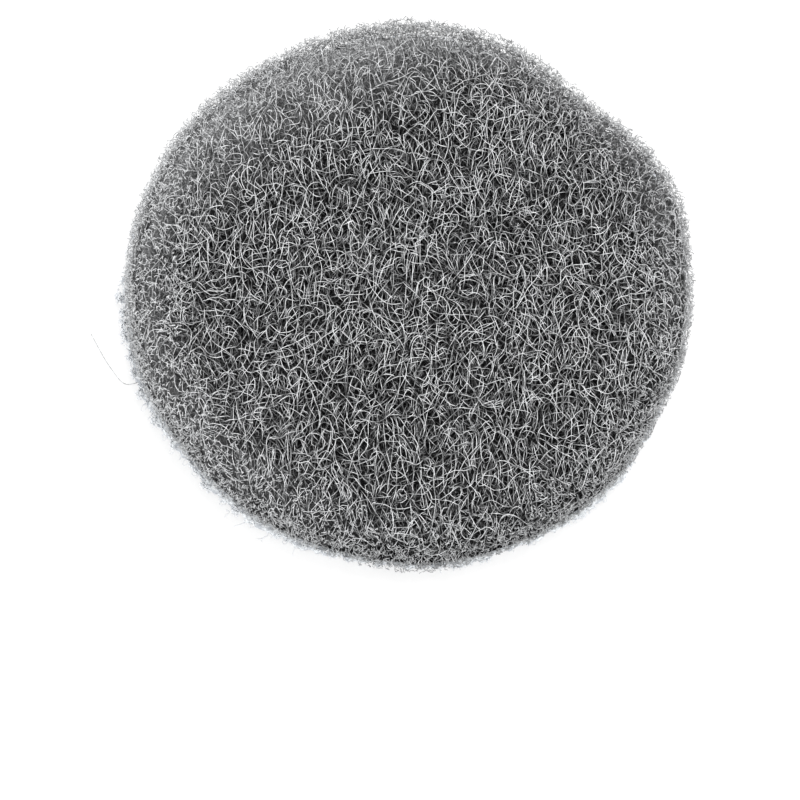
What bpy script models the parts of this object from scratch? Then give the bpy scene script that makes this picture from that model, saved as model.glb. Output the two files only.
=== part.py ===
# Round fleece sanding pad: a disc of open, curly fibre web on a thin pale backing edged with loops.
# Metres, +Z up. The pad lies on its backing, with the origin at the middle of its underside.
import math
import random

import bmesh
import bpy
import numpy as np

# Sizes of the disc
disc_diameter = 0.0500  # across the web, before its outline wavers
web_height = 0.0046  # thickness of the fibre web
rim_radius = 0.0021  # the rubbed, rounded upper edge
wall_flare = 0.0004  # how far the foot of the wall stands out past its top
backing_thickness = 0.0011
backing_proud = 0.00015  # how far the backing runs out past the web
bond_gap = 0.0003  # the glue line between web and backing

# The web's surface: coarse strands that bend, cross and sink under each other
strand_length = 0.0140
strand_half_width = 0.0009
strand_height = 0.0009
strand_pitch = 0.0037  # from the middle of one strand to the next
strand_step = 0.0010  # from point to point along a strand
strand_bend = 24.0  # most degrees that a strand turns at a point
sunk_share = 0.35  # the lowest strand's height as a share of the highest one's
crest_snap = 0.00028  # a surface point this near a strand's crest moves onto it
shortest_wall = 0.0008  # what is left of the wall below its rounded edge

# The loops that stand out round the backing's edge
loop_half_width = 0.0007
loop_reach = 0.0003
loop_spacing = 0.0013
loop_shift = 0.35  # how far a loop may stand from its even place, as a share of the spacing
smallest_loop = 0.2  # as a share of the largest one's reach
loop_edge_share = 0.45  # what is left of a loop's swell at the backing's two faces

# How finely the surfaces are cut
web_rings = 40  # rings of points from the middle of the top to the foot of the wall
backing_points = 240  # points round the backing's edge
backing_rows = 2  # bands up the backing's edge

# Where the cut outline leaves the circle: bearing and spread in degrees, and the swell there
outline_swells = (
    (30.0, 11.0, 0.00072),
    (59.0, 11.0, -0.00095),
    (95.0, 15.0, 0.00037),
    (130.0, 13.0, -0.00020),
    (230.0, 10.0, -0.00020),
    (285.0, 10.0, 0.00025),
    (341.0, 12.0, -0.00036),
)
web_colour = (0.075, 0.077, 0.080)
web_roughness = 0.65
backing_colour = (0.62, 0.64, 0.66)
backing_roughness = 0.9
smooth_angle = 50.0  # degrees; a sharper edge is shaded as one
strand_seed = 7
loop_seed = 11

disc_radius = disc_diameter / 2
web_foot = backing_thickness + bond_gap
web_top = web_foot + web_height
# The web's body lies one strand below its outer size, and the strands make up the rest.
body_top = web_top - strand_height
wall_lean = strand_height + wall_flare
rim = min(rim_radius, body_top - web_foot - shortest_wall)  # a rounding no taller than its wall
rim_arc = rim * math.pi / 2
wall_drop = body_top - rim - web_foot
wall_run = math.hypot(wall_drop, wall_lean)


def clear_scene():
    for thing in list(bpy.data.objects):
        bpy.data.objects.remove(thing, do_unlink=True)


def make_material(name, colour, roughness):
    material = bpy.data.materials.new(name)
    material.use_nodes = True
    shader = material.node_tree.nodes["Principled BSDF"]
    shader.inputs["Base Color"].default_value = (*colour, 1.0)
    shader.inputs["Roughness"].default_value = roughness
    shader.inputs["Metallic"].default_value = 0.0
    return material


def cut_radius(bearing):
    # The disc's outline at a bearing in radians: a circle with the swells of a rough cut
    radius = disc_radius
    for middle, spread, swell in outline_swells:
        away = (math.degrees(bearing) - middle + 180.0) % 360.0 - 180.0
        radius += swell * math.exp(-((away / spread) ** 2))
    return radius


def flat_reach(bearing):
    return cut_radius(bearing) - wall_lean - rim


def web_reach(bearing):
    # The way from the middle of the top, over the rim and down the wall to its foot
    return flat_reach(bearing) + rim_arc + wall_run


def web_section(reach, bearing):
    # A point of the web's section and its outward direction, each as (out, up)
    flat = flat_reach(bearing)
    if reach <= flat:
        return (reach, body_top), (0.0, 1.0)
    turn = (reach - flat) / rim
    if turn <= math.pi / 2:
        out, up = math.sin(turn), math.cos(turn)
        return (flat + rim * out, body_top - rim * (1.0 - up)), (out, up)
    share = min((reach - flat - rim_arc) / wall_run, 1.0)
    place = (flat + rim + wall_lean * share, body_top - rim - wall_drop * share)
    return place, (wall_drop / wall_run, wall_lean / wall_run)


def ring_places():
    # Ring k has 6k points, so that the points lie evenly over the spread-out web.
    places = [(0.0, 0.0)]
    for ring in range(1, web_rings + 1):
        for step in range(6 * ring):
            bearing = 2 * math.pi * step / (6 * ring)
            reach = web_reach(bearing) * ring / web_rings
            places.append((reach * math.cos(bearing), reach * math.sin(bearing)))
    return np.array(places)


def ring_faces():
    # Triangles between each ring and the one inside it, one sixth of the ring at a time
    faces = []
    inner_start, inner_count = 0, 1
    for ring in range(1, web_rings + 1):
        outer_start, outer_count = inner_start + inner_count, 6 * ring
        for sixth in range(6):
            for step in range(ring):
                outer = outer_start + sixth * ring + step
                after = outer_start + (sixth * ring + step + 1) % outer_count
                inner = inner_start + (sixth * (ring - 1) + step) % inner_count
                faces.append((inner, outer, after))
                if step < ring - 1:
                    beside = inner_start + (sixth * (ring - 1) + step + 1) % inner_count
                    faces.append((inner, after, beside))
        inner_start, inner_count = outer_start, outer_count
    return faces


def lay_strands(chance):
    # Bent lines over the spread-out web, one about each point of an even net
    widest = disc_radius + web_height
    across = int(widest / strand_pitch)
    steps = max(int(strand_length / strand_step), 2)
    strands = []
    for row in range(-across, across + 1):
        for column in range(-across, across + 1):
            middle = np.array((column + chance.uniform(-0.5, 0.5), row + chance.uniform(-0.5, 0.5)))
            heading = chance.uniform(0.0, 2 * math.pi)
            lean = chance.uniform(-0.5, 0.5) * strand_bend
            line = [np.zeros(2)]
            for _ in range(steps):
                heading += math.radians(lean + chance.uniform(-0.5, 0.5) * strand_bend)
                line.append(line[-1] + strand_step * np.array((math.cos(heading), math.sin(heading))))
            line = np.array(line)
            line += middle * strand_pitch - line.mean(axis=0)
            strands.append((line, chance.uniform(sunk_share, 1.0)))
    return strands


def near_strand(places, line):
    # The nearest point of a strand to each place, and how far off it is
    start, run = line[:-1], np.diff(line, axis=0)
    offset = places[:, None, :] - start[None, :, :]
    along = np.clip((offset * run).sum(axis=2) / (run * run).sum(axis=1), 0.0, 1.0)
    nearest = start[None, :, :] + along[:, :, None] * run[None, :, :]
    away = np.linalg.norm(places[:, None, :] - nearest, axis=2)
    best = away.argmin(axis=1)
    every = np.arange(len(places))
    return nearest[every, best], away[every, best]


def snap_to_crests(places, strands):
    # Points close to a strand's crest move onto it, which keeps the crests unbroken.
    snapped = places.copy()
    closest = np.full(len(places), crest_snap)
    for line, _ in strands:
        nearest, away = near_strand(places, line)
        closer = away < closest
        snapped[closer] = nearest[closer]
        closest = np.minimum(closest, away)
    foot = -6 * web_rings
    snapped[foot:] = places[foot:]
    return snapped


def strand_relief(places, strands):
    # How far each place of the spread-out web rises: the highest strand over it
    relief = np.zeros(len(places))
    for line, share in strands:
        away = near_strand(places, line)[1]
        bump = np.clip(1.0 - (away / strand_half_width) ** 2, 0.0, 1.0)
        relief = np.maximum(relief, strand_height * share * bump)
    return relief


def make_object(name, shape, material):
    mesh = bpy.data.meshes.new(name)
    bmesh.ops.recalc_face_normals(shape, faces=shape.faces)
    shape.to_mesh(mesh)
    shape.free()
    mesh.materials.append(material)
    mesh.shade_smooth()
    mesh.set_sharp_from_angle(angle=math.radians(smooth_angle))
    thing = bpy.data.objects.new(name, mesh)
    bpy.context.collection.objects.link(thing)
    return thing


def build_fleece_web():
    strands = lay_strands(random.Random(strand_seed))
    places = snap_to_crests(ring_places(), strands)
    shape = bmesh.new()
    corners = []
    for (across, along), rise in zip(places, strand_relief(places, strands)):
        bearing, reach = math.atan2(along, across), math.hypot(across, along)
        (out, up), (lean_out, lean_up) = web_section(reach, bearing)
        rise *= min((web_reach(bearing) - reach) / wall_run, 1.0)  # none is left at the foot
        out += rise * lean_out
        up += rise * lean_up
        corners.append(shape.verts.new((out * math.cos(bearing), out * math.sin(bearing), up)))
    for face in ring_faces():
        shape.faces.new([corners[i] for i in face])
    foot = corners[-6 * web_rings :]
    shape.faces.new(list(reversed(foot)))
    material = make_material("dark_fibre", web_colour, web_roughness)
    return make_object("fleece_web", shape, material)


def loop_swell(bearing, loops):
    # How far the nearest loops stand out at a bearing
    swell = 0.0
    for middle, size in loops:
        away = abs((bearing - middle + math.pi) % (2 * math.pi) - math.pi) * disc_radius
        if away < loop_half_width:
            swell = max(swell, size * math.sqrt(1.0 - (away / loop_half_width) ** 2))
    return swell * loop_reach


def place_loops(chance):
    # The bearing of each loop's middle and its share of the full reach
    count = int(math.pi * disc_diameter / loop_spacing)
    loops = []
    for number in range(count):
        bearing = 2 * math.pi * (number + chance.uniform(-loop_shift, loop_shift)) / count
        loops.append((bearing, chance.uniform(smallest_loop, 1.0)))
    return loops


def build_loop_backing():
    loops = place_loops(random.Random(loop_seed))
    shape = bmesh.new()
    rows = []
    for row in range(backing_rows + 1):
        height = backing_thickness * row / backing_rows
        from_middle = abs(2 * row / backing_rows - 1)
        belly = 1.0 - (1.0 - loop_edge_share) * from_middle  # the loops bulge out half way up
        ring = []
        for step in range(backing_points):
            bearing = 2 * math.pi * step / backing_points
            out = cut_radius(bearing) + backing_proud + loop_swell(bearing, loops) * belly
            ring.append(shape.verts.new((out * math.cos(bearing), out * math.sin(bearing), height)))
        rows.append(ring)
    for low, high in zip(rows, rows[1:]):
        for step in range(backing_points):
            after = (step + 1) % backing_points
            shape.faces.new((low[step], low[after], high[after], high[step]))
    shape.faces.new(list(reversed(rows[0])))
    shape.faces.new(rows[-1])
    material = make_material("pale_loops", backing_colour, backing_roughness)
    return make_object("loop_backing", shape, material)


clear_scene()
build_loop_backing()
build_fleece_web()
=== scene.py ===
import math

import bpy
import numpy as np
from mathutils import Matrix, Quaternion, Vector


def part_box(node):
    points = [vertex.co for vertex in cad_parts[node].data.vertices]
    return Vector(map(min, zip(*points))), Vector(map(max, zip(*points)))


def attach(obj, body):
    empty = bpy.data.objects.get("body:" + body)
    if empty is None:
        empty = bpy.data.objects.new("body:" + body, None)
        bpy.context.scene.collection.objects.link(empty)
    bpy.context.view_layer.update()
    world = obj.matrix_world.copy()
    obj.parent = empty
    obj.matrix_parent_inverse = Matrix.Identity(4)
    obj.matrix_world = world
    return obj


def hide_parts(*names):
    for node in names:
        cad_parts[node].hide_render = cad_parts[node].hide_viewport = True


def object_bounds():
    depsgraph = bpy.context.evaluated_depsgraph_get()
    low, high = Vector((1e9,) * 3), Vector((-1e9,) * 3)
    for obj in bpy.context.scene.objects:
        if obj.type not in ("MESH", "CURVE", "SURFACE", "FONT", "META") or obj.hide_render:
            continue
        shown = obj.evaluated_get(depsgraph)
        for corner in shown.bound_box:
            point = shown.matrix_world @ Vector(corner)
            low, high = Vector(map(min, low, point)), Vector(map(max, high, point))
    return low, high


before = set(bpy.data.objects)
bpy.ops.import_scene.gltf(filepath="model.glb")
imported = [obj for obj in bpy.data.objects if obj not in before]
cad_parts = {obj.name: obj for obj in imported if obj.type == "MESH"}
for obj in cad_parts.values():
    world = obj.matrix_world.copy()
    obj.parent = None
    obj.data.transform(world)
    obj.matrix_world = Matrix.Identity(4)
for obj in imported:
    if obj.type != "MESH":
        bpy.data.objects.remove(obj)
cadLow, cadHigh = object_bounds()
print("frame loaded")

# Where the pad is, read from the frame
webLow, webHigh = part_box("fleece_web")
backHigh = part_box("loop_backing")[1]
samePlace = 0.000001  # points closer than this are one point

padShape = {
    "rim": 0.0021,  # radius of the rubbed upper edge
    "lean": 0.00045,  # how far the wall leans in towards the rim
    "skin": 0.00012,  # how far the nominal surface lies inside the solid's highest strands
    "overlap": 0.0001,  # how far the fibres reach down past the top of the backing
    "hang": 0.0007,  # how much further they hang at the near side, over the backing's edge
    "hangOut": 0.0003,  # how far they stand out there
    "hangTurn": 278.0,  # bearing and spread of that, in degrees
    "hangSpread": 15.0,
    "footGap": 0.00005,  # what the fibres leave free above the foot of the wall
}


def footOutline():
    # bearing and radius of each point round the foot of the web's wall
    points = np.array([v.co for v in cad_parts["fleece_web"].data.vertices])
    foot = points[points[:, 2] < webLow.z + samePlace]
    bearing, radius = polar(foot)
    order = np.argsort(bearing)
    return bearing[order], radius[order]


def polar(flat):
    # bearing and distance from the middle of each point
    return np.arctan2(flat[:, 1], flat[:, 0]), np.hypot(flat[:, 0], flat[:, 1])


footBearing, footRadius = footOutline()
topHeight = webHigh.z - padShape["skin"]


def outline(bearing):
    return np.interp(bearing, footBearing, footRadius, period=2 * math.pi)


def hanging(bearing):
    away = (np.degrees(bearing) - padShape["hangTurn"] + 180) % 360 - 180
    return np.exp(-((away / padShape["hangSpread"]) ** 2))


def wallDrop(bearing):
    # height of the wall below the rim
    foot = backHigh.z - padShape["overlap"] - padShape["hang"] * hanging(bearing)
    return topHeight - padShape["rim"] - foot


def fullReach(bearing):
    # the way from the middle of the top, over the rim and down the wall to its foot
    rim, lean = padShape["rim"], padShape["lean"]
    return outline(bearing) - lean - rim + rim * math.pi / 2 + np.hypot(wallDrop(bearing), lean)


def overPad(sheet, rise):
    # folds points of a flat sheet over the pad's top, rim and wall; rise is out of its surface
    rim, lean = padShape["rim"], padShape["lean"]
    bearing, reach = polar(sheet)
    flat = outline(bearing) - lean - rim
    turn = np.clip((reach - flat) / rim, 0.0, math.pi / 2)
    drop = np.clip(reach - flat - rim * math.pi / 2, 0.0, None)
    wall = np.hypot(wallDrop(bearing), lean)
    low = np.clip(drop / wall, 0, 1) ** 2 * hanging(bearing) * padShape["hangOut"]
    outward = np.minimum(reach, flat) + rim * np.sin(turn) + drop * lean / wall + rise * np.sin(turn) + low
    height = topHeight - rim * (1 - np.cos(turn)) - drop * wallDrop(bearing) / wall + rise * np.cos(turn)
    return np.stack([outward * np.cos(bearing), outward * np.sin(bearing), height], axis=-1)


# Shader nodes written as sums
class Wire:
    def __init__(self, tree, socket):
        self.tree, self.socket = tree, socket

    def node(self, kind, settings=None, out=0, **inputs):
        return addNode(self.tree, kind, settings, out, **inputs)

    def maths(self, operation, *values):
        sockets = {f"in{number}": value for number, value in enumerate(values)}
        return self.node("ShaderNodeMath", {"operation": operation}, **sockets)

    def vector(self, operation, *values, out="Vector", **inputs):
        sockets = {f"in{number}": value for number, value in enumerate(values)}
        return self.node("ShaderNodeVectorMath", {"operation": operation}, out, **sockets, **inputs)

    def between(self, low, high):
        # 0 at low and 1 at high, eased at both ends
        return self.node("ShaderNodeMapRange", {"interpolation_type": "SMOOTHSTEP"}, 0,
                         Value=self, From_Min=low, From_Max=high)

    def blend(self, dark, light):
        # the colour that lies this share of the way from dark to light
        return self.node("ShaderNodeMix", {"data_type": "RGBA"}, 2, in0=self, in6=dark, in7=light)

    def __add__(self, other):
        return self.maths("ADD", self, other)

    def __radd__(self, other):
        return self.maths("ADD", other, self)

    def __sub__(self, other):
        return self.maths("SUBTRACT", self, other)

    def __rsub__(self, other):
        return self.maths("SUBTRACT", other, self)

    def __mul__(self, other):
        return self.maths("MULTIPLY", self, other)

    def __rmul__(self, other):
        return self.maths("MULTIPLY", other, self)


def fillSocket(tree, socket, value):
    # links a wire to a socket, or sets the socket's own number or colour
    if isinstance(value, Wire):
        tree.links.new(value.socket, socket)
    elif socket.type == "RGBA":
        socket.default_value = (*value, 1.0)
    else:
        socket.default_value = value


def addNode(tree, kind, settings=None, out=0, **inputs):
    # one node with its settings, then its sockets by name or as in0, in1 and so on
    node = tree.nodes.new(kind)
    for name, value in (settings or {}).items():
        setattr(node, name, value)
    for name, value in inputs.items():
        socket = node.inputs[int(name[2:])] if name[2:].isdigit() else node.inputs[name.replace("_", " ")]
        fillSocket(tree, socket, value)
    return Wire(tree, node.outputs[out])


def newMaterial(name):
    material = bpy.data.materials.new(name)
    material.use_nodes = True
    tree = material.node_tree
    return material, tree, tree.nodes["Principled BSDF"]


def plug(tree, shader, **inputs):
    for name, value in inputs.items():
        fillSocket(tree, shader.inputs[name.replace("_", " ")], value)


def noiseAt(tree, place, scale, detail=2.0, out="Fac"):
    return addNode(tree, "ShaderNodeTexNoise", None, out, Vector=place, Scale=scale, Detail=detail)


def bumpFrom(tree, height, distance):
    return addNode(tree, "ShaderNodeBump", None, 0, Height=height, Distance=distance, Strength=1.0)


# What every fibre and thread shares: how its tone drifts along it, and its fine grit
fibreGrain = {
    "driftScale": 5200.0,
    "gritScale": 9000.0,
    "least": 0.40,  # what the drift leaves of the tone
    "drift": 0.62,
    "grit": 0.2,
    "roughDrift": 0.2,
    "gloss": 0.25,
}
fibreLooks = {
    # the dark end is the near black that the painted shade of the deepest fibres reaches
    "greyFibre": {"dark": (0.003, 0.003, 0.0035), "light": (0.80, 0.81, 0.82),
                  "roughness": 0.35, "grain": 0.00001},
    "paleThread": {"dark": (0.68, 0.70, 0.73), "light": (0.96, 0.98, 1.0),
                   "roughness": 0.55, "grain": 0.000005},
}


def fibreMaterial(name):
    # each fibre has its own tone, with the painted shade of its depth and painted light at the rim in it,
    # drifts a little along its length and is rough with fine grit
    look = fibreLooks[name]
    material, tree, shader = newMaterial(name)
    tone = addNode(tree, "ShaderNodeAttribute", {"attribute_name": "tone"}, "Fac")
    place = addNode(tree, "ShaderNodeTexCoord", None, "Object")
    drift = noiseAt(tree, place, fibreGrain["driftScale"], 1.0)
    grit = noiseAt(tree, place, fibreGrain["gritScale"], 3.0)
    change = fibreGrain["least"] + drift.between(0.3, 0.7) * fibreGrain["drift"] + grit * fibreGrain["grit"]
    share = tone * change
    plug(tree, shader, Base_Color=share.blend(look["dark"], look["light"]),
         Roughness=look["roughness"] + drift * fibreGrain["roughDrift"],
         Specular_IOR_Level=fibreGrain["gloss"], Normal=bumpFrom(tree, grit, look["grain"]))
    return material


# Strands: many lines turned into thin tubes
strandShape = {
    "sides": 3,
    "tip": 0.6,  # how far a tip runs on past its line, as a share of the radius
    "margin": 0.06,  # what is free round each strand on the map, as a share of its tile
    "join": 1e-7,  # the points of a tip lie closer than this
}


def deselectAll():
    bpy.ops.object.select_all(action="DESELECT")


def pickOnly(thing):
    deselectAll()
    thing.select_set(True)
    bpy.context.view_layer.objects.active = thing


def makeProfile():
    # the three-cornered section that every strand is swept with
    curve = bpy.data.curves.new("strandSection", "CURVE")
    curve.dimensions = "2D"
    spline = curve.splines.new("POLY")
    spline.points.add(strandShape["sides"] - 1)
    for number, point in enumerate(spline.points):
        turn = -2 * math.pi * number / strandShape["sides"]
        point.co = (math.cos(turn), math.sin(turn), 0, 1)
    spline.use_cyclic_u = True
    profile = bpy.data.objects.new("strandSection", curve)
    bpy.context.collection.objects.link(profile)
    return profile


def layTiles(mesh, counts):
    # every strand has a tile of its own on the map, with its length along u
    sides, margin = strandShape["sides"], strandShape["margin"]
    starts = np.concatenate([[0], np.cumsum(counts * sides)[:-1]])
    vertex = np.zeros(len(mesh.loops), np.int64)
    mesh.loops.foreach_get("vertex_index", vertex)
    strand = np.searchsorted(starts, vertex, side="right") - 1
    local = vertex - starts[strand]
    along, around = local // sides, local % sides
    # a face between the last side and the first one ends at the far edge of its tile
    face = np.repeat(np.arange(len(mesh.polygons)), [len(p.vertices) for p in mesh.polygons])
    far = np.zeros(len(mesh.polygons), bool)
    np.maximum.at(far, face, around == sides - 1)
    near = np.zeros(len(mesh.polygons), bool)
    np.maximum.at(near, face, around == 0)
    around = np.where((around == 0) & far[face] & near[face], sides, around)
    tiles, inner = math.ceil(math.sqrt(len(counts))), 1 - 2 * margin
    u = (strand % tiles + margin + inner * along / (counts[strand] - 1)) / tiles
    v = (strand // tiles + margin + inner * around / sides) / tiles
    layer = mesh.uv_layers.new(name="OFBake")
    layer.data.foreach_set("uv", np.stack([u, v], axis=-1).astype(np.float32).ravel())


def strandsToMesh(name, strands, material):
    # a strand is its line, its radius and its tone, each one number or one for each point
    profile = makeProfile()
    curve = bpy.data.curves.new(name, "CURVE")
    curve.dimensions = "3D"
    curve.bevel_mode = "OBJECT"
    curve.bevel_object = profile
    allTones = []
    for line, width, tone in strands:
        first, last = line[0] - line[1], line[-1] - line[-2]
        width, tone = np.broadcast_to(width, len(line)), np.broadcast_to(tone, len(line))
        before = line[0] + first / np.linalg.norm(first) * width[0] * strandShape["tip"]
        after = line[-1] + last / np.linalg.norm(last) * width[-1] * strandShape["tip"]
        spline = curve.splines.new("POLY")
        spline.points.add(len(line) + 1)
        places = np.ones((len(line) + 2, 4), np.float32)
        places[:, :3] = np.concatenate([[before], line, [after]])
        spline.points.foreach_set("co", places.ravel())
        spline.points.foreach_set("radius", np.concatenate([[0], width, [0]]).astype(np.float32))
        allTones.append(np.concatenate([tone[:1], tone, tone[-1:]]))
    thing = bpy.data.objects.new(name, curve)
    bpy.context.collection.objects.link(thing)
    pickOnly(thing)
    bpy.ops.object.convert(target="MESH")
    thing = bpy.context.view_layer.objects.active
    bpy.data.objects.remove(profile, do_unlink=True)
    mesh = thing.data
    for layer in list(mesh.uv_layers):
        mesh.uv_layers.remove(layer)
    layTiles(mesh, np.array([len(tone) for tone in allTones]))
    tone = np.repeat(np.concatenate(allTones), strandShape["sides"]).astype(np.float32)
    mesh.attributes.new("tone", "FLOAT", "POINT").data.foreach_set("value", tone)
    mesh.materials.clear()
    mesh.materials.append(material)
    bpy.ops.object.mode_set(mode="EDIT")
    bpy.ops.mesh.select_all(action="SELECT")
    bpy.ops.mesh.remove_doubles(threshold=strandShape["join"])
    bpy.ops.object.mode_set(mode="OBJECT")
    mesh.shade_smooth()
    print(name, len(strands), "strands", countTriangles(mesh), "triangles")
    return thing


def countTriangles(mesh):
    return sum(len(p.vertices) - 2 for p in mesh.polygons)


# The web's run: its fibres lie more along it than across it, and its needle holes stand in rows along it
webRun = {"turn": 100.0, "stretch": 1.5}  # its bearing, and how much longer a step is along it than across

# The needle holes of the web, where fibres draw together
needleHoles = {
    "column": 0.0030,  # from one column to the next
    "row": 0.0031,
    "rows": 9,  # rows and columns on each side of the middle
    "shift": 0.0009,  # how far a hole may lie from its even place along the run
    "sideShift": 0.6,  # as a share of that, across the run
    "edge": 0.0035,  # none lies closer to the foot of the wall
    "kept": 0.85,  # share of the places that have a hole
    "pull": 0.0012,  # how far out fibres are drawn in
    "strength": 0.3,
    "dip": 0.00016,
    "seed": 5,
}


def placeHoles():
    chance = np.random.default_rng(needleHoles["seed"])
    turn = math.radians(webRun["turn"] - 90)
    shift, every = needleHoles["shift"], range(-needleHoles["rows"], needleHoles["rows"] + 1)
    holes = []
    for column in every:
        for row in every:
            across = column * needleHoles["column"] + chance.normal(0, shift * needleHoles["sideShift"])
            along = (row + 0.5 * (column % 2)) * needleHoles["row"] + chance.normal(0, shift)
            place = np.array((across * math.cos(turn) - along * math.sin(turn),
                              across * math.sin(turn) + along * math.cos(turn)))
            bearing = math.atan2(place[1], place[0])
            inside = np.hypot(*place) < fullReach(bearing) - needleHoles["edge"]
            if inside and chance.uniform() < needleHoles["kept"]:
                holes.append(place)
    return np.array(holes)


holePlaces = placeHoles()


def drawIn(places, rise):
    # moves flat points towards the nearest needle hole, and down into its dip
    offset = places[:, None, :] - holePlaces[None, :, :]
    away = np.linalg.norm(offset, axis=2)
    nearest = away.argmin(axis=1)
    every = np.arange(len(places))
    near = np.clip(1 - away[every, nearest] / needleHoles["pull"], 0, 1) ** 2
    drawn = places - offset[every, nearest] * (near * needleHoles["strength"])[:, None]
    return drawn, rise - needleHoles["dip"] * near


# Lines on the flat sheet
lineShape = {
    "spread": (0.7548776662, 0.5698402910),  # steps round and outwards that fill the disc evenly
    "carried": 0.78,  # how much of a bend goes on to the next step
    "fresh": 0.62,  # how much of it is new
    "kinkTurn": 0.9,
    "weaker": 0.6,  # the second wave of a line's rise, as a share of the first
    "slowest": 0.5,
    "fastest": 1.4,
}


def scatter(chance, count, inner=0.0, outer=1.0):
    # well spread places between two shares of the whole reach
    number = np.arange(count) + chance.uniform(-0.3, 0.3, count)
    first, second = chance.uniform(0, 1, 2)
    bearing = 2 * math.pi * ((first + number * lineShape["spread"][0]) % 1)
    share = (second + number * lineShape["spread"][1]) % 1
    reach = fullReach(bearing) * np.sqrt(inner**2 + (outer**2 - inner**2) * share)
    return np.stack([reach * np.cos(bearing), reach * np.sin(bearing)], axis=-1)


def alongRun(lines):
    # draws lines out along the web's run and in across it
    turn, wide = math.radians(webRun["turn"]), math.sqrt(webRun["stretch"])
    run, side = np.array((math.cos(turn), math.sin(turn))), np.array((-math.sin(turn), math.cos(turn)))
    return (lines @ run)[..., None] * run * wide + (lines @ side)[..., None] * side / wide


def curlyLines(chance, middles, steps, stepLength, curls, kink):
    # lines whose bend drifts as they go; kink is the share of their steps with a sharp turn
    count = len(middles)
    bend = chance.normal(0, 1, count) * curls
    heading = chance.uniform(0, 2 * math.pi, count)
    line = [np.zeros((count, 2))]
    for _ in range(steps):
        bend = lineShape["carried"] * bend + lineShape["fresh"] * chance.normal(0, 1, count) * curls
        sharp = (chance.uniform(0, 1, count) < kink) * chance.normal(0, lineShape["kinkTurn"], count)
        heading = heading + bend + sharp
        line.append(line[-1] + stepLength * np.stack([np.cos(heading), np.sin(heading)], axis=-1))
    line = np.stack(line, axis=1)
    return alongRun(line - line.mean(axis=1, keepdims=True)) + middles[:, None, :]


def driftingRise(chance, count, points, pace):
    # a smooth wander about 0 for each line
    wave = np.arange(points)
    wander = np.zeros((count, points))
    for share in (1.0, lineShape["weaker"]):
        speed = chance.uniform(lineShape["slowest"], lineShape["fastest"], (count, 1)) * pace / share
        wander += share * np.sin(chance.uniform(0, 2 * math.pi, (count, 1)) + wave * speed)
    return wander / 1.3


def insideRun(flat):
    # the longest part of a line that stays above the foot of the wall
    bearing, reach = polar(flat)
    inside = reach < fullReach(bearing) - padShape["footGap"]
    edges = np.flatnonzero(np.diff(np.concatenate([[0], inside, [0]])))
    runs = edges.reshape(-1, 2)
    if len(runs) == 0:
        return slice(0, 0)
    start, stop = max(runs, key=lambda run: run[1] - run[0])
    return slice(start, stop)


def allInside(flat):
    return insideRun(flat) == slice(0, len(flat))


def ramp(value, start, width):
    # 0 up to start, and 1 from a width past it
    return min(max((value - start) / width, 0.0), 1.0)


def reachShare(point):
    # how far out one flat point lies, as a share of the whole reach there
    return math.hypot(*point) / float(fullReach(math.atan2(point[1], point[0])))


def towards(point, degrees):
    # 1 where a flat point lies at this bearing, and 0 a quarter turn away or more
    return max(math.cos(math.atan2(point[1], point[0]) - math.radians(degrees)), 0.0)


# Where the rim is painted pale, as painted light from behind, and where it is rubbed bare of long fibres
rimPaintedLight = {
    "start": 0.55,  # share of the whole reach where it begins
    "turn": 130.0,  # the bearing where it is palest
    "even": 0.54,  # how pale it is all round, and how much that changes with the bearing
    "uneven": 0.46,
    "lift": 0.55,  # the painted light it adds to a tone
    "gain": -0.50,  # and what it takes from the contrast of the painted shade
}
bareRim = {
    "start": 0.72,
    "width": 0.14,
    "nearTurn": 285.0,  # the bearing where it is rubbed least
    "nearShift": 0.07,  # how much further out it begins there
}
# Fibre tones: painted shade darkens each fibre by how deep it lies, and chance changes it from fibre to
# fibre and from point to point
toneAndShade = {
    "depth": 0.00088,  # from here down the fibres are painted at their darkest, as painted shade of the depth
    "least": 0.001,
    "fall": 5.2,  # how fast the painted shade darkens them on the way down
    "level": 0.94,  # of a tone away from the rim
    "ofFibre": (0.80, 1.0),  # chance changes from fibre to fibre, and from point to point
    "ofPoint": (0.68, 1.12),
}


def rimLightShare(flat):
    # 0 over most of the pad and 1 at the rim, where it is painted pale as painted light, least on the near
    # side
    bearing, reach = polar(flat)
    out = np.clip((reach / fullReach(bearing) - rimPaintedLight["start"]) / (1 - rimPaintedLight["start"]), 0, 1)
    return out * (rimPaintedLight["even"] + rimPaintedLight["uneven"] * np.cos(bearing - math.radians(rimPaintedLight["turn"])))


def rubbedReach(point):
    # share of the whole reach at one flat point, less at the side where the rim is rubbed least
    return reachShare(point) - bareRim["nearShift"] * towards(point, bareRim["nearTurn"])


def outerShare(point):
    # 0 on the flat top and 1 down on the wall, for one flat point
    return ramp(rubbedReach(point), bareRim["start"], bareRim["width"])


def toneAt(rise, flat, chance, gain):
    # fibres are painted paler the nearer they lie to the surface, as painted shade of the depth, and paler
    # at the rim, as painted light
    depth = np.clip((rise + toneAndShade["depth"]) / toneAndShade["depth"], 0.0, 1.1)
    pale = rimLightShare(flat)
    contrast = toneAndShade["level"] + rimPaintedLight["gain"] * pale
    tone = gain * (toneAndShade["least"] + depth ** toneAndShade["fall"]) * contrast + rimPaintedLight["lift"] * pale
    return tone * chance.uniform(*toneAndShade["ofFibre"]) * chance.uniform(*toneAndShade["ofPoint"], len(flat))


# How much fibre lies over each small square of the web
coverGrid = {"cell": 0.0005, "across": 160, "tries": 8, "shift": 0.0006}
cover = np.zeros((coverGrid["across"], coverGrid["across"]))


def coverCells(line):
    cells = (line / coverGrid["cell"] + coverGrid["across"] / 2).astype(int)
    return tuple(np.clip(cells, 0, coverGrid["across"] - 1).T)


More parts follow.
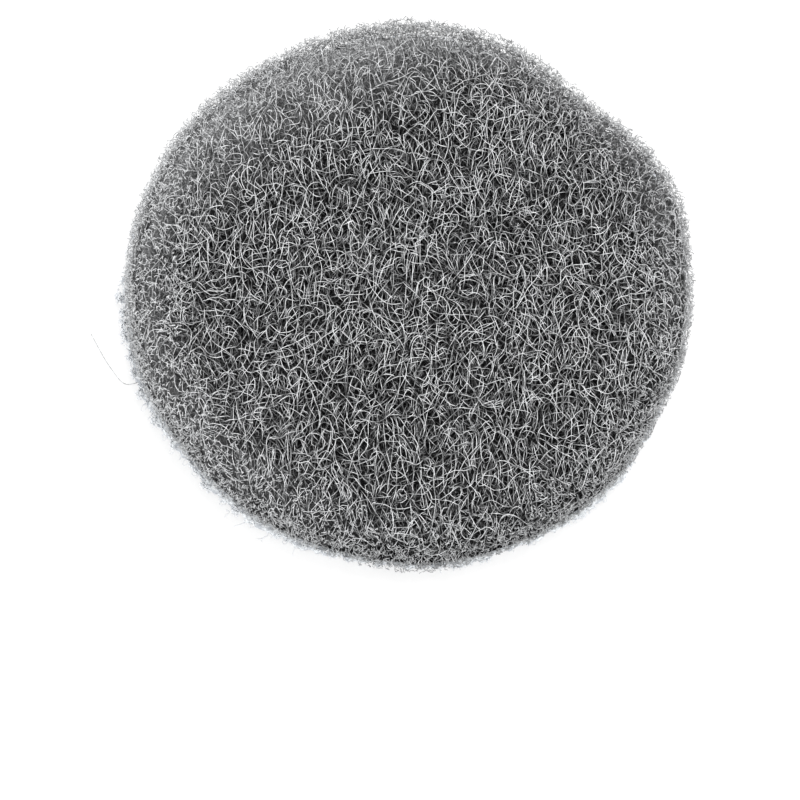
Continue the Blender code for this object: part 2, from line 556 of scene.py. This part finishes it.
def laidEvenly(chance, line, weight):
    # a line finds the thinnest of a few places close by
    shifts = chance.normal(0, coverGrid["shift"], (coverGrid["tries"], 2))
    loads = [cover[coverCells(line + shift)].mean() for shift in shifts]
    line = line + shifts[int(np.argmin(loads))]
    np.add.at(cover, coverCells(line), weight)
    return line


# The long fibres of the web, in three layers
fibres = {
    "steps": 14,
    "step": 0.00046,
    "fewest": 4,  # points; what is left shorter inside the edge isn't kept
    "curlSpread": 0.65,
    "kink": 0.07,
    "pace": 1.3,
    "endDrop": 0.00030,  # the ends go down among the others
    "nextDrop": 0.00012,
    "thick": (0.88, 1.12),  # chance changes of the radius from fibre to fibre, and from point to point
    "uneven": (0.8, 1.2),
}
# low and high: how far a fibre lies under the surface; bare: what share of them the rim has lost; the gain
# paints the deeper layers darker, as painted shade
fibreLayers = {
    "topFibres": {"count": 3500, "low": -0.00013, "high": 0.00012, "weave": 0.00016, "curl": 0.27,
                  "radius": 0.0000285, "gain": 1.09, "bare": 0.85, "seed": 3},
    "upperFibres": {"count": 3550, "low": -0.00034, "high": -0.00006, "weave": 0.00028, "curl": 0.36,
                    "radius": 0.0000285, "gain": 0.44, "bare": 0.85, "seed": 4},
    "middleFibres": {"count": 2600, "low": -0.00058, "high": -0.00026, "weave": 0.00028, "curl": 0.46,
                     "radius": 0.0000295, "gain": 0.15, "bare": 0.75, "seed": 2},
}
fibreLook = fibreMaterial("greyFibre")


def rideAsFleece(thing):
    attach(thing, "root")


def makeFibreLayer(name, layer):
    chance = np.random.default_rng(layer["seed"])
    count, steps = layer["count"], fibres["steps"]
    curls = np.exp(chance.normal(math.log(layer["curl"]), fibres["curlSpread"], count))
    middles = scatter(chance, count)
    flat = curlyLines(chance, middles, steps, fibres["step"], curls, fibres["kink"])
    rise = chance.uniform(layer["low"], layer["high"], (count, 1))
    rise = rise + layer["weave"] * driftingRise(chance, count, steps + 1, fibres["pace"])
    strands = []
    for line, height in zip(flat, rise):
        length = chance.integers(steps // 2, steps + 2)
        line, height = laidEvenly(chance, line[:length], layer["gain"]), height[:length]
        part = insideRun(line)
        line, height = line[part], height[part].copy()
        if len(line) < fibres["fewest"]:
            continue
        if chance.uniform() < layer["bare"] * outerShare(line.mean(axis=0)):
            continue
        height[[0, -1]] -= fibres["endDrop"]
        height[[1, -2]] -= fibres["nextDrop"]
        line, height = drawIn(line, height)
        width = layer["radius"] * chance.uniform(*fibres["thick"])
        width = width * chance.uniform(*fibres["uneven"], len(line))
        strands.append((overPad(line, height), width, toneAt(height, line, chance, layer["gain"])))
    rideAsFleece(strandsToMesh(name, strands, fibreLook))


for layerName, layerValues in fibreLayers.items():
    makeFibreLayer(layerName, layerValues)
print("fibre layers made")

# Short fibres that run out of the needle holes, and the finest bits between all the others
stars = {
    "fewest": 2,
    "most": 4,
    "steps": 6,
    "step": 0.00034,
    "foot": 0.00008,  # how far from the hole's middle a fibre may start
    "bend": 0.22,
    "wander": 0.1,
    "low": -0.0002,
    "arch": 0.00028,
    "dive": 0.0004,  # how far its last quarter goes down
    "shift": (-0.0002, 0.00005),
    "long": (0.65, 1.15),
    "thick": (0.85, 1.15),
    "radius": 0.000038,
    "gain": 0.95,
    "seed": 21,
}
bits = {
    "count": 8000,
    "steps": 2,
    "step": 0.00030,
    "outer": 0.97,
    "curl": 0.5,
    "kink": 0.3,
    "weight": 0.4,  # what a bit counts for where fibres are laid evenly
    "low": -0.00048,
    "high": -0.00003,
    "slope": 0.0002,  # most that it rises in a step
    "thick": (0.8, 1.25),
    "radius": 0.000031,
    "gain": 0.78,
    "seed": 22,
}


def makeStars():
    chance = np.random.default_rng(stars["seed"])
    steps = stars["steps"]
    share = np.linspace(0, 1, steps + 1)
    arch = stars["low"] + stars["arch"] * np.sin(share * math.pi * 0.9)
    shape = arch - stars["dive"] * np.clip(share - 0.75, 0, 1) * 4
    strands = []
    for hole in holePlaces:
        arms = chance.integers(stars["fewest"], stars["most"] + 1)
        for arm in range(arms):
            heading = 2 * math.pi * (arm + chance.uniform(-0.3, 0.3)) / arms
            length = stars["step"] * chance.uniform(*stars["long"])
            bend = chance.normal(0, stars["bend"])
            line = [hole + chance.normal(0, stars["foot"], 2)]
            for _ in range(steps):
                line.append(line[-1] + length * np.array((math.cos(heading), math.sin(heading))))
                heading += bend + chance.normal(0, stars["wander"])
            line = np.array(line)
            height = shape + chance.uniform(*stars["shift"])
            width = stars["radius"] * chance.uniform(*stars["thick"])
            strands.append((overPad(line, height), width, toneAt(height, line, chance, stars["gain"])))
    rideAsFleece(strandsToMesh("needleStars", strands, fibreLook))


def makeBits():
    chance = np.random.default_rng(bits["seed"])
    count, slope = bits["count"], bits["slope"]
    middles, curls = scatter(chance, count, 0.0, bits["outer"]), np.full(count, bits["curl"])
    flat = curlyLines(chance, middles, bits["steps"], bits["step"], curls, bits["kink"])
    strands = []
    for line in flat:
        line = laidEvenly(chance, line, bits["weight"])
        if not allInside(line):
            continue
        start = chance.uniform(bits["low"], bits["high"])
        height = start + chance.uniform(-slope, slope) * np.arange(len(line))
        width = bits["radius"] * chance.uniform(*bits["thick"])
        strands.append((overPad(line, height), width, toneAt(height, line, chance, bits["gain"])))
    rideAsFleece(strandsToMesh("shortBits", strands, fibreLook))


makeStars()
makeBits()
print("stars and bits made")

# The rubbed rim and the cut wall: short fibres that lie there, and a dense fuzz of cut ends
rimValues = {
    "count": 650,
    "inner": 0.78,
    "footCount": 350,  # more of them at the foot of the wall
    "footInner": 0.95,
    "steps": 8,
    "step": 0.00029,
    "fewest": 4,
    "curl": 0.34,
    "kink": 0.12,
    "low": -0.00045,
    "high": 0.00005,
    "weave": 0.0001,
    "pace": 0.8,
    "endDrop": 0.0002,
    "thick": (0.8, 1.2),
    "radius": 0.000036,
    "gain": 0.9,
    "seed": 31,
}
# inner and outer: where cut ends start; bare: up to where none is kept, and thicken: how soon all are
fuzzBands = {
    "rimFuzz": {"count": 9100, "inner": 0.66, "outer": 0.90, "bare": 0.66, "thicken": 0.16,
                "tone": (0.46, 0.90), "seed": 32},
    "wallFuzz": {"count": 3900, "inner": 0.89, "outer": 1.0, "bare": 0.80, "thicken": 0.001,
                 "tone": (0.55, 0.90), "seed": 33},
}
fuzz = {
    "steps": 3,
    "step": 0.00019,
    "low": -0.00022,
    "high": 0.00042,
    "tallest": 0.00072,
    "footTallest": 0.00015,  # the foot of the wall is cut cleaner
    "footStart": 0.92,
    "footWidth": 0.07,
    "turn": 1.0,  # how much the heading changes in a step
    "climb": 0.9,
    "climbSpread": 0.5,
    "fall": 0.62,  # how much less it climbs with each step
    "fallSpread": 0.45,
    "long": (0.7, 1.2),
    "thick": (0.8, 1.2),
    "radius": 0.000034,
    "brightTurn": 200.0,  # the bearing where the fuzz is brightest
    "bright": 0.32,
}


def makeRimFibres():
    chance = np.random.default_rng(rimValues["seed"])
    steps, count = rimValues["steps"], rimValues["count"] + rimValues["footCount"]
    middles = np.concatenate([scatter(chance, rimValues["count"], rimValues["inner"], 1.0),
                              scatter(chance, rimValues["footCount"], rimValues["footInner"], 1.0)])
    curls = np.full(count, rimValues["curl"])
    flat = curlyLines(chance, middles, steps, rimValues["step"], curls, rimValues["kink"])
    rise = chance.uniform(rimValues["low"], rimValues["high"], (count, 1))
    rise = rise + rimValues["weave"] * driftingRise(chance, count, steps + 1, rimValues["pace"])
    strands = []
    for line, height in zip(flat, rise):
        part = insideRun(line)
        line, height = line[part], height[part].copy()
        if len(line) < rimValues["fewest"]:
            continue
        height[[0, -1]] -= rimValues["endDrop"]
        width = rimValues["radius"] * chance.uniform(*rimValues["thick"])
        strands.append((overPad(line, height), width, toneAt(height, line, chance, rimValues["gain"])))
    rideAsFleece(strandsToMesh("rimFibres", strands, fibreLook))


def makeFuzz(name, band):
    # each cut end starts close to the surface and wanders out of it and along it
    chance = np.random.default_rng(band["seed"])
    strands = []
    for start in scatter(chance, band["count"], band["inner"], band["outer"]):
        if chance.uniform() > ramp(rubbedReach(start), band["bare"], band["thicken"]):
            continue
        low = ramp(reachShare(start), fuzz["footStart"], fuzz["footWidth"])
        tallest = fuzz["tallest"] + (fuzz["footTallest"] - fuzz["tallest"]) * low
        point, rise = start, min(chance.uniform(fuzz["low"], fuzz["high"]), tallest)
        heading = chance.uniform(0, 2 * math.pi)
        climb = chance.normal(fuzz["climb"], fuzz["climbSpread"])
        line, height = [point], [rise]
        for _ in range(fuzz["steps"]):
            length = fuzz["step"] * chance.uniform(*fuzz["long"])
            lean = math.atan(climb)
            point = point + length * math.cos(lean) * np.array((math.cos(heading), math.sin(heading)))
            rise = min(rise + length * math.sin(lean), tallest)
            line.append(point)
            height.append(rise)
            heading += chance.normal(0, fuzz["turn"])
            climb += chance.normal(-fuzz["fall"], fuzz["fallSpread"])
        line, height = np.array(line), np.array(height)
        if not allInside(line):
            continue
        width = fuzz["radius"] * chance.uniform(*fuzz["thick"])
        bright = fuzz["bright"] * towards(start, fuzz["brightTurn"])
        strands.append((overPad(line, height), width, chance.uniform(*band["tone"]) + bright))
    rideAsFleece(strandsToMesh(name, strands, fibreLook))


makeRimFibres()
for bandName, bandValues in fuzzBands.items():
    makeFuzz(bandName, bandValues)
print("rim made")

# The depth of the web, seen between the fibres: near black as painted shade, with dim deep fibres and
# painted light at the rim
coreShape = {
    "inset": 0.0005,
    "foot": 0.00015,  # how much less the foot of the wall is inset
    "sunk": 0.00003,  # how far its underside goes down into the backing
}
coreLook = {
    # near black: painted shade of the deep web
    "dark": (0.002, 0.002, 0.0025),
    "light": (0.58, 0.585, 0.595),
    "roughness": 0.8,
    "gloss": 0.1,
    "bump": 0.0001,
    "sway": 0.0011,  # how far the deepest fibres bend
    # cells in a metre, and the width and strength of their edges
    "meshes": ((1500.0, 0.04, 1.0), (2700.0, 0.06, 0.7)),
    "patches": 1500.0,
    "speckle": 5200.0,
    "fibres": 0.09,  # how pale the deepest fibres are
    "farHaze": 0.85,  # how pale the depth is painted at the far rim, as painted light from behind, and from where to where that grows
    "farBand": (0.012, 0.026),
    "edgeHaze": 0.42,  # the same at the rim all round
    "edgeBand": (0.0205, 0.0250),
    "nearBand": (-0.022, -0.002),  # towards the near side it fades out again
    "wallBand": (0.0010, 0.0052),  # and down the wall most of this painted light goes
    "wallHaze": 0.3,
}


def coreMaterial():
    material, tree, shader = newMaterial("webDepth")
    place = addNode(tree, "ShaderNodeTexCoord", None, "Object")
    waver = noiseAt(tree, place, 700.0, 2.0, "Color")
    bent = waver.vector("ADD", place, waver.vector("SCALE", waver, Scale=coreLook["sway"]))
    lines = None
    for scale, width, strength in coreLook["meshes"]:
        edge = addNode(tree, "ShaderNodeTexVoronoi", {"feature": "DISTANCE_TO_EDGE"}, "Distance",
                       Vector=bent, Scale=scale)
        thread = (1.0 - edge.between(width * 0.3, width * 1.6)) * strength
        lines = thread if lines is None else lines.maths("MAXIMUM", lines, thread)
    patchy = noiseAt(tree, place, coreLook["patches"]).between(0.35, 0.68)
    # painted light from behind: the depth is painted paler at the far rim and round the rim, less down the
    # wall
    turn = math.radians(rimPaintedLight["turn"])
    far = place.vector("DOT_PRODUCT", place, (math.cos(turn), math.sin(turn), 0), out="Value")
    away = place.vector("LENGTH", place, out="Value")
    up = place.vector("DOT_PRODUCT", place, (0, 0, 1), out="Value").between(*coreLook["wallBand"])
    speckle = noiseAt(tree, place, coreLook["speckle"]).between(0.36, 0.64) * 0.8 + 0.45
    farHaze = far.between(*coreLook["farBand"]) * coreLook["farHaze"]
    ring = away.between(*coreLook["edgeBand"]) * far.between(*coreLook["nearBand"])
    wallHaze = coreLook["wallHaze"] + up * (1 - coreLook["wallHaze"])
    paintedRimLight = (farHaze + ring * coreLook["edgeHaze"]) * speckle * wallHaze
    share = lines * patchy * coreLook["fibres"] + paintedRimLight
    plug(tree, shader, Base_Color=share.blend(coreLook["dark"], coreLook["light"]),
         Roughness=coreLook["roughness"], Specular_IOR_Level=coreLook["gloss"],
         Normal=bumpFrom(tree, lines, coreLook["bump"]))
    return material


def makeCore():
    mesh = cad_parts["fleece_web"].data.copy()
    core = bpy.data.objects.new("fleecePad", mesh)
    bpy.context.collection.objects.link(core)
    pickOnly(core)
    bpy.ops.object.mode_set(mode="EDIT")
    bpy.ops.mesh.select_all(action="SELECT")
    bpy.ops.mesh.remove_doubles(threshold=samePlace)
    bpy.ops.transform.shrink_fatten(value=-coreShape["inset"])
    bpy.ops.object.mode_set(mode="OBJECT")
    low, high = min(v.co.z for v in mesh.vertices), max(v.co.z for v in mesh.vertices)
    for vertex in mesh.vertices:  # its underside lies on the backing, and its foot fills the wall
        share = (vertex.co.z - low) / (high - low)
        if share < 0.5:
            widen = 1 + coreShape["foot"] / math.hypot(*vertex.co.xy) * max(0, 1 - share * 2)
            vertex.co.x, vertex.co.y = vertex.co.x * widen, vertex.co.y * widen
        vertex.co.z = backHigh.z - coreShape["sunk"] + share * (high - backHigh.z)
    mesh.materials.clear()
    mesh.materials.append(coreMaterial())
    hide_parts("fleece_web")
    rideAsFleece(core)


makeCore()
print("core made")

# The pale backing: a thin cloth with a rough edge, its loops and its loose hairs
backing = {
    "corners": 720,
    "rings": 3,
    "ringSpread": 1.2,  # above 1, the rings lie closer together near the middle
    "thickness": 0.00075,
    "lift": 0.00018,  # the cloth lies on its own loops
    "lump": 0.00015,
    "cut": 0.4,  # how rough the cut edge is, as a share of a lump
    "flatness": 6,  # the higher it is, the closer to the edge its lumps stay
    "roundEdge": 0.00022,
    # waves round the edge, and the size of each as a share of a lump
    "waves": ((31, 0.5), (67, 0.6), (118, 0.5), (173, 0.4)),
    # how far the cloth shows past the web: bearing in degrees and the amount there
    "showing": ((0, -0.0001), (60, -0.0001), (150, 0.0), (180, 0.0001), (190, 0.0003), (205, 0.0003),
                (222, 0.00022), (250, 0.0003), (262, 0.00015), (272, -0.0001), (284, -0.0001),
                (289, 0.00015), (296, -0.00005), (303, -0.00005), (310, 0.0001), (320, 0.0003),
                (328, 0.0002), (342, -0.0001)),
    "seed": 41,
}
backingLook = {
    # dark is reached in the crevices, where it is painted shade
    "dark": (0.36, 0.38, 0.42),
    "light": (0.88, 0.91, 0.93),
    "roughness": 0.92,
    "bump": 0.00012,
    "loops": 2300.0,  # loops in a metre
    "sway": 0.0009,  # how far the loops lie out of line
    "grit": 6000.0,
}


def clothEdge(bearing):
    # radius of the cloth's edge, with the waver of a rough cut
    degrees = np.degrees(bearing) % 360
    marks, amounts = zip(*backing["showing"])
    edge = outline(bearing) + np.interp(degrees, marks, amounts, period=360)
    for number, (turns, share) in enumerate(backing["waves"]):
        edge = edge + backing["lump"] * share * np.sin(bearing * turns + number * 2.1)
    return edge


def backingMaterial():
    material, tree, shader = newMaterial("paleLoops")
    place = addNode(tree, "ShaderNodeTexCoord", None, "Object")
    waver, sway = noiseAt(tree, place, 500.0, 1.0, "Color"), backingLook["sway"]
    bent = waver.vector("MULTIPLY_ADD", waver, (sway, sway, 0.0), place)
    cells = addNode(tree, "ShaderNodeTexVoronoi", {"feature": "SMOOTH_F1"}, "Distance",
                    Vector=bent, Scale=backingLook["loops"])
    grit = noiseAt(tree, place, backingLook["grit"], 4.0)
    # the crevices between the loops sink in the bump and are painted darker, as painted shade; the grit
    # changes the tone at random
    crevice = cells.between(0.28, 0.62)
    height = 1.0 - crevice + grit * 0.5
    tintAndShade = (1.0 - crevice * 0.7) * (0.74 + grit * 0.6)
    plug(tree, shader, Base_Color=tintAndShade.blend(backingLook["dark"], backingLook["light"]),
         Roughness=backingLook["roughness"], Normal=bumpFrom(tree, height, backingLook["bump"]))
    return material


def rideAsLoops(thing):
    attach(thing, "root")


def makeBackingCloth():
    deselectAll()
    rings, lump = backing["rings"], backing["lump"]
    bpy.ops.mesh.primitive_circle_add(vertices=backing["corners"], radius=1.0, fill_type="NOTHING")
    cloth = bpy.context.active_object
    cloth.name = cloth.data.name = "backingCloth"
    bpy.ops.object.mode_set(mode="EDIT")
    bpy.ops.mesh.select_all(action="SELECT")
    for ring in range(1, rings):
        reach = ((rings - ring) / rings) ** backing["ringSpread"]
        before = ((rings - ring + 1) / rings) ** backing["ringSpread"]
        bpy.ops.mesh.extrude_region_move()
        bpy.ops.transform.resize(value=(reach / before, reach / before, 1.0))
    bpy.ops.mesh.edge_face_add()
    bpy.ops.mesh.poke()
    bpy.ops.mesh.select_all(action="SELECT")
    bpy.ops.mesh.normals_make_consistent(inside=False)
    bpy.ops.object.mode_set(mode="OBJECT")
    mesh = cloth.data
    chance = np.random.default_rng(backing["seed"])
    for vertex in mesh.vertices:
        reach = math.hypot(vertex.co.x, vertex.co.y)
        bearing = math.atan2(vertex.co.y, vertex.co.x)
        radius = (float(clothEdge(bearing)) + chance.normal(0, backing["cut"]) * lump) * reach
        vertex.co = (radius * math.cos(bearing), radius * math.sin(bearing),
                     chance.uniform(-0.5, 0.5) * lump * reach ** backing["flatness"])
    thick = cloth.modifiers.new("thickness", "SOLIDIFY")
    thick.thickness = backing["thickness"]
    thick.offset = 0.0
    bpy.ops.object.modifier_apply(modifier=thick.name)
    rounded = cloth.modifiers.new("roundEdge", "BEVEL")
    rounded.width = backing["roundEdge"]
    rounded.segments = 2
    rounded.limit_method = "ANGLE"
    rounded.angle_limit = math.radians(60)
    bpy.ops.object.modifier_apply(modifier=rounded.name)
    middle = backing["lift"] + backing["thickness"] / 2
    for vertex in mesh.vertices:
        vertex.co.z += middle
    mesh.materials.clear()
    mesh.materials.append(backingMaterial())
    mesh.shade_smooth()
    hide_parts("loop_backing")
    rideAsLoops(cloth)
    print("backingCloth", countTriangles(mesh), "triangles")
    return cloth


threads = {
    "fuzz": 1500,
    "fuzzSteps": 3,
    "fuzzStep": 0.00017,
    "fuzzRadius": 0.000050,
    "fuzzHeight": (0.35, 1.05),  # where it starts, as a share of the backing's height
    "fuzzTone": (0.75, 1.0),
    "flockSpread": 0.0085,  # of a flock along the edge, in radians
    "flockStep": 0.65,  # in a flock the steps are this share as long
    "lowest": 0.0001,
    "curlHeight": 0.0006,
    "curlRise": 0.00035,
    "curlRadius": 0.000036,
    "curlTone": 0.72,
    "hairHeight": 0.0007,
    "hairPoints": 6,
    "hairWaver": 0.00003,
    "hairRadius": 0.000040,
    "hairTone": 0.75,
    "seed": 42,
}
# curls that stand out of the edge: bearing in degrees, size, how flat, lean in degrees and number of turns
edgeCurls = (
    (207.8, 0.00046, 0.7, 20, 0.62), (211.8, 0.00034, 0.6, -10, 0.62), (215.0, 0.00048, 0.55, 35, 0.9),
    (222.2, 0.00050, 0.45, 40, 1.3), (225.4, 0.00044, 0.5, 30, 0.8), (229.0, 0.00046, 0.6, 15, 0.9),
    (231.9, 0.00036, 0.85, 0, 1.7), (240.2, 0.00040, 0.6, -35, 0.7), (247.3, 0.00036, 0.7, 20, 1.2),
    (254.6, 0.00034, 0.7, -20, 1.3), (305.0, 0.00030, 0.7, 10, 0.9), (322.0, 0.00032, 0.6, -30, 1.0),
)
# flocks of short pale thread at the edge: bearing in degrees, radius in millimetres and how many
edgeFlocks = (
    (191.2, 25.75, 90), (194.8, 25.6, 30), (197.0, 25.55, 30), (199.6, 25.6, 60), (204.5, 25.4, 30),
    (207.5, 25.5, 35), (212.1, 25.7, 30), (218.0, 25.5, 30), (235.0, 25.5, 30), (243.0, 25.4, 40),
    (318.0, 25.1, 40), (310.0, 24.8, 30), (288.5, 25.2, 25),
)
# loose hairs: bearing and radius in degrees and millimetres of each point
looseHairs = (
    ((245.9, 25.6), (244.5, 26.6)), ((251.0, 25.5), (250.3, 26.1), (249.4, 26.4)),
    ((250.4, 26.0), (250.6, 26.5)), ((256.6, 25.5), (257.1, 26.3)), ((242.2, 25.7), (242.1, 26.4)),
    ((199.0, 25.6), (198.9, 26.0)),
)


def onEdge(bearing, radius, height):
    return np.array((radius * math.cos(bearing), radius * math.sin(bearing), height))


def lineThrough(points, count):
    # a line of so many points that runs through a few given ones
    share, known = np.linspace(0, 1, count), np.linspace(0, 1, len(points))
    return np.stack([np.interp(share, known, points[:, axis]) for axis in range(3)], axis=-1)


def edgeFuzz(chance):
    starts = [(bearing, float(clothEdge(bearing)) + chance.normal(-0.00012, 0.00007), 1.0)
              for bearing in chance.uniform(-math.pi, math.pi, threads["fuzz"])]
    for degrees, radius, number in edgeFlocks:
        turns = np.radians(degrees) + chance.normal(0, threads["flockSpread"], number)
        radii = radius / 1000 + chance.normal(-0.0001, 0.00012, number)
        starts += list(zip(turns, radii, np.full(number, threads["flockStep"])))
    strands, stepLength = [], threads["fuzzStep"]
    for bearing, radius, scale in starts:
        heading, climb = chance.uniform(0, 2 * math.pi), chance.normal(0, 0.6)
        point = onEdge(bearing, radius, chance.uniform(*threads["fuzzHeight"]) * backHigh.z)
        line = [point]
        for _ in range(threads["fuzzSteps"]):
            step = np.array((math.cos(heading), math.sin(heading), climb))
            point = point + step / np.linalg.norm(step) * stepLength * scale * chance.uniform(0.6, 1.2)
            point[2] = max(point[2], threads["lowest"])
            line.append(point)
            heading += chance.normal(0, 0.9)
            climb += chance.normal(0, 0.5)
        width = threads["fuzzRadius"] * chance.uniform(0.8, 1.5) / scale**0.6
        strands.append((np.array(line), width, chance.uniform(*threads["fuzzTone"])))
    return strands


def curlStrand(degrees, size, flat, lean, turns):
    bearing = math.radians(degrees)
    middle = onEdge(bearing, float(clothEdge(bearing)) + size * 0.5, threads["curlHeight"])
    out = onEdge(bearing + math.radians(lean), 1, 0)
    side = onEdge(bearing + math.radians(lean + 90), 1, 0)
    steps = max(int(13 * turns), 8)
    turn = np.linspace(-math.pi * turns, math.pi * turns, steps)
    shrink = np.linspace(1.0, 0.7, steps)
    across = np.outer(np.cos(turn) * shrink, out)
    line = middle + (across + np.outer(np.sin(turn) * shrink * flat, side)) * size
    line[:, 2] += np.linspace(0, threads["curlRise"], steps)
    return line, threads["curlRadius"], threads["curlTone"]


def hairStrand(hair):
    height, count = threads["hairHeight"], threads["hairPoints"]
    points = np.array([onEdge(math.radians(degrees), radius / 1000, height) for degrees, radius in hair])
    line = lineThrough(points, count)
    line[:, 0] += threads["hairWaver"] * np.sin(np.linspace(0, 1, count) * 7)
    return line, threads["hairRadius"], threads["hairTone"]


def makeEdgeThreads():
    # short fuzz, curls and hairs of the backing's edge
    strands = edgeFuzz(np.random.default_rng(threads["seed"]))
    strands += [curlStrand(*curl) for curl in edgeCurls]
    strands += [hairStrand(hair) for hair in looseHairs]
    thing = strandsToMesh("edgeThreads", strands, threadLook)
    rideAsLoops(thing)
    return thing


loops = {
    "count": 600,
    "edge": 0.0006,  # none lies closer to the web's outline
    "size": (0.0003, 0.00048),
    "high": 0.00008,  # how far a loop's feet stand in the cloth
    "drop": 0.00021,
    "radius": 0.000045,
    "tone": (0.6, 1.0),
    "seed": 43,
}


def makeUnderLoops():
    # the little loops of the underside, which the pad lies on
    chance = np.random.default_rng(loops["seed"])
    turn = np.linspace(0, math.pi, 6)
    strands = []
    for _ in range(loops["count"]):
        bearing = chance.uniform(-math.pi, math.pi)
        reach = (float(outline(bearing)) - loops["edge"]) * math.sqrt(chance.uniform())
        heading, size = chance.uniform(0, 2 * math.pi), chance.uniform(*loops["size"])
        foot = onEdge(bearing, reach, backing["lift"] + loops["high"])
        line = foot + np.outer(np.cos(turn) * size, onEdge(heading, 1, 0))
        line[:, 2] -= np.sin(turn) * loops["drop"]
        strands.append((line, loops["radius"], chance.uniform(*loops["tone"])))
    thing = strandsToMesh("underLoops", strands, threadLook)
    rideAsLoops(thing)
    return thing


# One long web fibre that has come out at the near left and stands clear
stray = {
    "points": 22,
    "radius": 0.000042,
    "tone": 0.75,
    # across, along and up in millimetres
    "run": ((-21.9, -12.7, 1.4), (-22.36, -12.93, 1.3), (-22.95, -13.11, 1.25), (-23.54, -12.83, 1.2),
            (-24.47, -11.92, 1.2), (-25.19, -11.19, 1.3), (-25.90, -10.32, 1.4), (-26.48, -9.61, 1.5),
            (-26.84, -9.14, 1.6)),
}


def makeStrayFibre():
    line = lineThrough(np.array(stray["run"]) / 1000, stray["points"])
    line[1:-1] = (line[:-2] + line[1:-1] * 2 + line[2:]) / 4
    strand = (line, stray["radius"], stray["tone"])
    rideAsFleece(strandsToMesh("strayFibre", [strand], fibreLook))


threadLook = fibreMaterial("paleThread")
cloth = makeBackingCloth()
edgeThreads = makeEdgeThreads()
underLoops = makeUnderLoops()
makeStrayFibre()
print("backing made")

# Floor, light and camera
stage = {
    "floorSize": 2.0,
    "floorColour": (0.8, 0.8, 0.8),
    "floorRoughness": 0.8,
    "glow": 1.05,  # the floor shines a little to the camera alone, so that it looks white
    "glowShare": 0.65,
    "world": 1.35,
}
softLights = {
    "key": {"place": (0.06, 0.16, 0.46), "size": 0.16, "power": 0.9},
    "back": {"place": (-0.10, 0.50, 0.16), "size": 0.30, "power": 0.45},
}


def makeStage():
    deselectAll()
    bpy.ops.mesh.primitive_plane_add(size=stage["floorSize"], location=(0, 0, 0))
    floor = bpy.context.active_object
    floor.name = "floor"
    material, tree, shader = newMaterial("whiteFloor")
    plug(tree, shader, Base_Color=stage["floorColour"], Roughness=stage["floorRoughness"])
    seen = addNode(tree, "ShaderNodeLightPath", None, "Is Camera Ray")
    glow = addNode(tree, "ShaderNodeEmission", None, 0, Color=(1, 1, 1), Strength=stage["glow"])
    mixed = addNode(tree, "ShaderNodeMixShader", None, 0, in0=seen * stage["glowShare"],
                    in1=Wire(tree, shader.outputs[0]), in2=glow)
    tree.links.new(mixed.socket, tree.nodes["Material Output"].inputs[0])
    floor.data.materials.append(material)
    world = bpy.data.worlds.new("world")
    bpy.context.scene.world = world
    world.use_nodes = True
    background = world.node_tree.nodes["Background"]
    plug(world.node_tree, background, Color=(1, 1, 1), Strength=stage["world"])


def addSoftLight(name, values):
    light = bpy.data.lights.new(name, "AREA")
    light.shape = "DISK"
    light.size = values["size"]
    light.energy = values["power"]
    lamp = bpy.data.objects.new(name, light)
    bpy.context.collection.objects.link(lamp)
    lamp.location = values["place"]
    lamp.rotation_euler = (-Vector(values["place"])).to_track_quat("-Z", "Y").to_euler()


view = {
    "elevation": 71.0,  # degrees above the bench
    "roll": 10.0,  # degrees clockwise
    "lens": 135.0,
    "sensor": 36.0,
    "padPixels": 566.0,  # width of the pad in the picture
    "padWidth": 0.0500,
    "middleX": 410.0,  # where the pad's middle lies in the 800 pixel picture
    "middleY": 285.7,
    "picture": 800.0,
    "nearest": 0.01,
    "farthest": 10.0,
}


def makeCamera():
    data = bpy.data.cameras.new("camera")
    data.lens = view["lens"]
    data.sensor_width = view["sensor"]
    data.clip_start = view["nearest"]
    data.clip_end = view["farthest"]
    camera = bpy.data.objects.new("camera", data)
    bpy.context.collection.objects.link(camera)
    picture = view["picture"]
    scale = view["padWidth"] / view["padPixels"]  # metres for a pixel at the pad
    distance = picture * scale * data.lens / data.sensor_width
    lift = math.radians(view["elevation"])
    middle = Vector((0, 0, (cadLow.z + cadHigh.z) / 2))
    back = Vector((0, -math.cos(lift), math.sin(lift)))
    facing = (-back).to_track_quat("-Z", "Y")
    turned = facing @ Quaternion((0, 0, 1), math.radians(view["roll"]))
    right, up = turned @ Vector((1, 0, 0)), turned @ Vector((0, 1, 0))
    aim = middle - right * (view["middleX"] - picture / 2) * scale
    aim = aim + up * (view["middleY"] - picture / 2) * scale
    camera.rotation_mode = "QUATERNION"
    camera.rotation_quaternion = turned
    camera.location = aim + back * distance
    bpy.context.scene.camera = camera


makeStage()
for lampName, lampValues in softLights.items():
    addSoftLight(lampName, lampValues)
makeCamera()
bpy.context.scene.view_settings.view_transform = "Standard"
